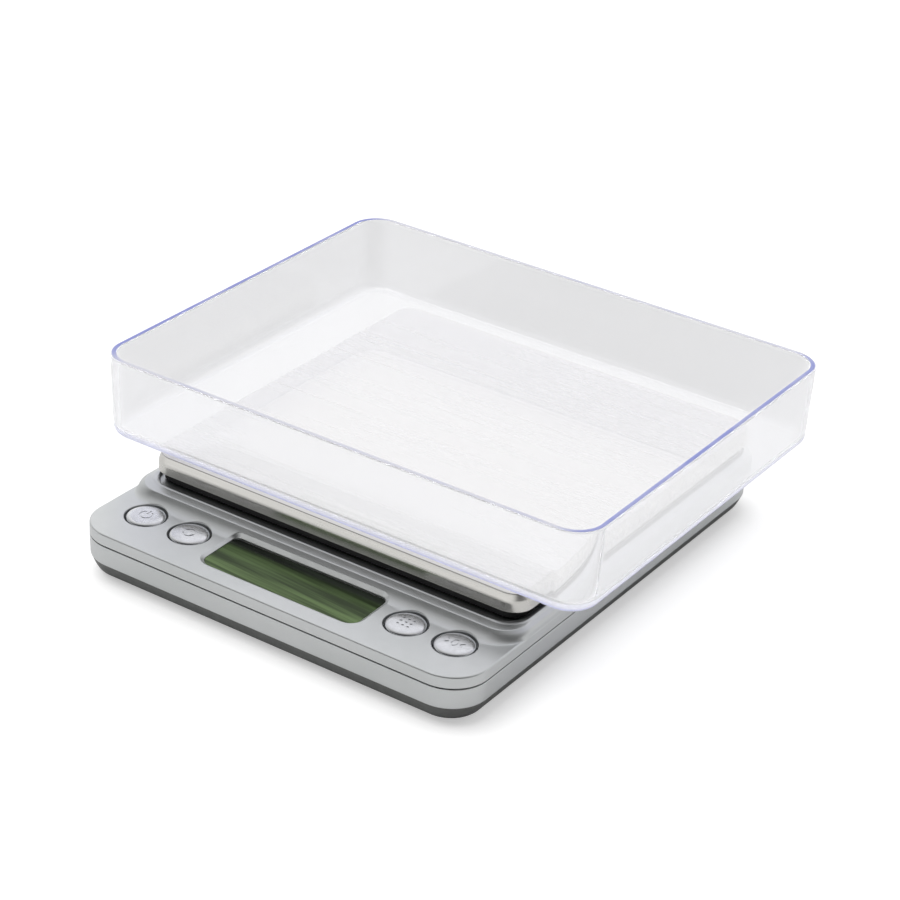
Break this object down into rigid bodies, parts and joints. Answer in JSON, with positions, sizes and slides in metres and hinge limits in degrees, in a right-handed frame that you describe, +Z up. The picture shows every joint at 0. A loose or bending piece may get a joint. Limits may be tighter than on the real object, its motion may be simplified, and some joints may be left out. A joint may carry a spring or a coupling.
{
  "type": "digital gram scale",
  "caption": "Low rectangular digital gram scale with a front display and round keys, a square steel weighing platform on a load cell and a clear lift-off tray.",
  "frame": {"origin": "on the surface the scale stands on, under the middle of the whole object's bounding box", "axes": "+X along the display towards the tare key, +Y from the display to the back, +Z up"},
  "size_m": [0.1316, 0.1302, 0.0418],
  "materials": {
    "silver_paint": "silver-grey metallic paint over moulded ABS, satin",
    "stainless_steel": "stainless steel sheet, finely brushed",
    "clear_plastic": "clear polystyrene, polished, faint violet at thick edges",
    "plated_key": "bright satin plating over plastic",
    "black_plastic": "black moulded plastic, satin",
    "display_glass": "liquid crystal glass sandwich, smooth",
    "display_film": "dark green polariser film, glossy",
    "backlight": "light guide, satin",
    "rubber": "black rubber, matt",
    "aluminium": "machined aluminium, satin",
    "circuit_board": "green solder mask over glass epoxy",
    "white_plastic": "white sealing compound and adhesive sheet",
    "screw_steel": "zinc-plated steel, satin",
    "battery_jacket": "printed cell sleeve, glossy",
    "nickel_contact": "nickel-plated spring steel",
    "red_lead": "red wire insulation"
  },
  "bodies": {
    "base": {"battery_1": "battery_jacket", "battery_2": "battery_jacket", "battery_bridge_plate": "nickel_contact", "battery_lead_negative": "black_plastic", "battery_lead_positive": "red_lead", "battery_plate_negative": "nickel_contact", "battery_plate_positive": "nickel_contact", "battery_spring_1": "nickel_contact", "battery_spring_2": "nickel_contact", "board_screw_1": "screw_steel", "board_screw_2": "screw_steel", "board_screw_3": "screw_steel", "board_screw_4": "screw_steel", "case_screw_1": "screw_steel", "case_screw_2": "screw_steel", "case_screw_3": "screw_steel", "case_screw_4": "screw_steel", "controller_blob": "black_plastic", "converter_chip": "black_plastic", "foot_back_left": "rubber", "foot_back_right": "rubber", "foot_front_left": "rubber", "foot_front_right": "rubber", "gauge_cover_lower": "white_plastic", "gauge_cover_upper": "white_plastic", "lcd_backlight": "backlight", "lcd_contact_strip": "rubber", "lcd_glass": "display_glass", "lcd_holder": "black_plastic", "lcd_polariser": "display_film", "load_cell": "aluminium", "load_cell_cable": "black_plastic", "load_cell_screw_1": "screw_steel", "load_cell_screw_2": "screw_steel", "lower_shell": "silver_paint", "main_board": "circuit_board", "switch_count": "screw_steel", "switch_mode": "screw_steel", "switch_power": "screw_steel", "switch_tare": "screw_steel", "upper_shell": "silver_paint"},
    "platform": {"platform_pan": "stainless_steel", "pan_adhesive": "white_plastic", "platform_carrier": "black_plastic", "platform_screw_1": "screw_steel", "platform_screw_2": "screw_steel"},
    "tray": {"tray": "clear_plastic"},
    "battery_door": {"battery_door": "silver_paint"},
    "power_key": {"key_power": "plated_key", "plunger_power": "black_plastic"},
    "mode_key": {"key_mode": "plated_key", "plunger_mode": "black_plastic"},
    "count_key": {"key_count": "plated_key", "plunger_count": "black_plastic"},
    "tare_key": {"key_tare": "plated_key", "plunger_tare": "black_plastic"}
  },
  "joints": [
    {"name": "platform_flex", "type": "slide", "parent": "base", "child": "platform", "axis": [0, 0, -1], "range_m": [0, 0.00025], "stiffness_N_per_m": 20000, "springref_m": -0.00006},
    {"name": "tray_lift", "type": "slide", "parent": "platform", "child": "tray", "axis": [0, 0, 1], "range_m": [0, 0.05]},
    {"name": "power_key_press", "type": "slide", "parent": "base", "child": "power_key", "axis": [0, 0, -1], "range_m": [0, 0.0006], "stiffness_N_per_m": 800, "springref_m": -0.0002},
    {"name": "mode_key_press", "type": "slide", "parent": "base", "child": "mode_key", "axis": [0, 0, -1], "range_m": [0, 0.0006], "stiffness_N_per_m": 800, "springref_m": -0.0002},
    {"name": "count_key_press", "type": "slide", "parent": "base", "child": "count_key", "axis": [0, 0, -1], "range_m": [0, 0.0006], "stiffness_N_per_m": 800, "springref_m": -0.0002},
    {"name": "tare_key_press", "type": "slide", "parent": "base", "child": "tare_key", "axis": [0, 0, -1], "range_m": [0, 0.0006], "stiffness_N_per_m": 800, "springref_m": -0.0002},
    {"name": "battery_door_swing", "type": "hinge", "parent": "base", "child": "battery_door", "pos_m": [0, 0.03184, 0.0008], "axis": [-1, 0, 0], "range_deg": [0, 80]}
  ]
}
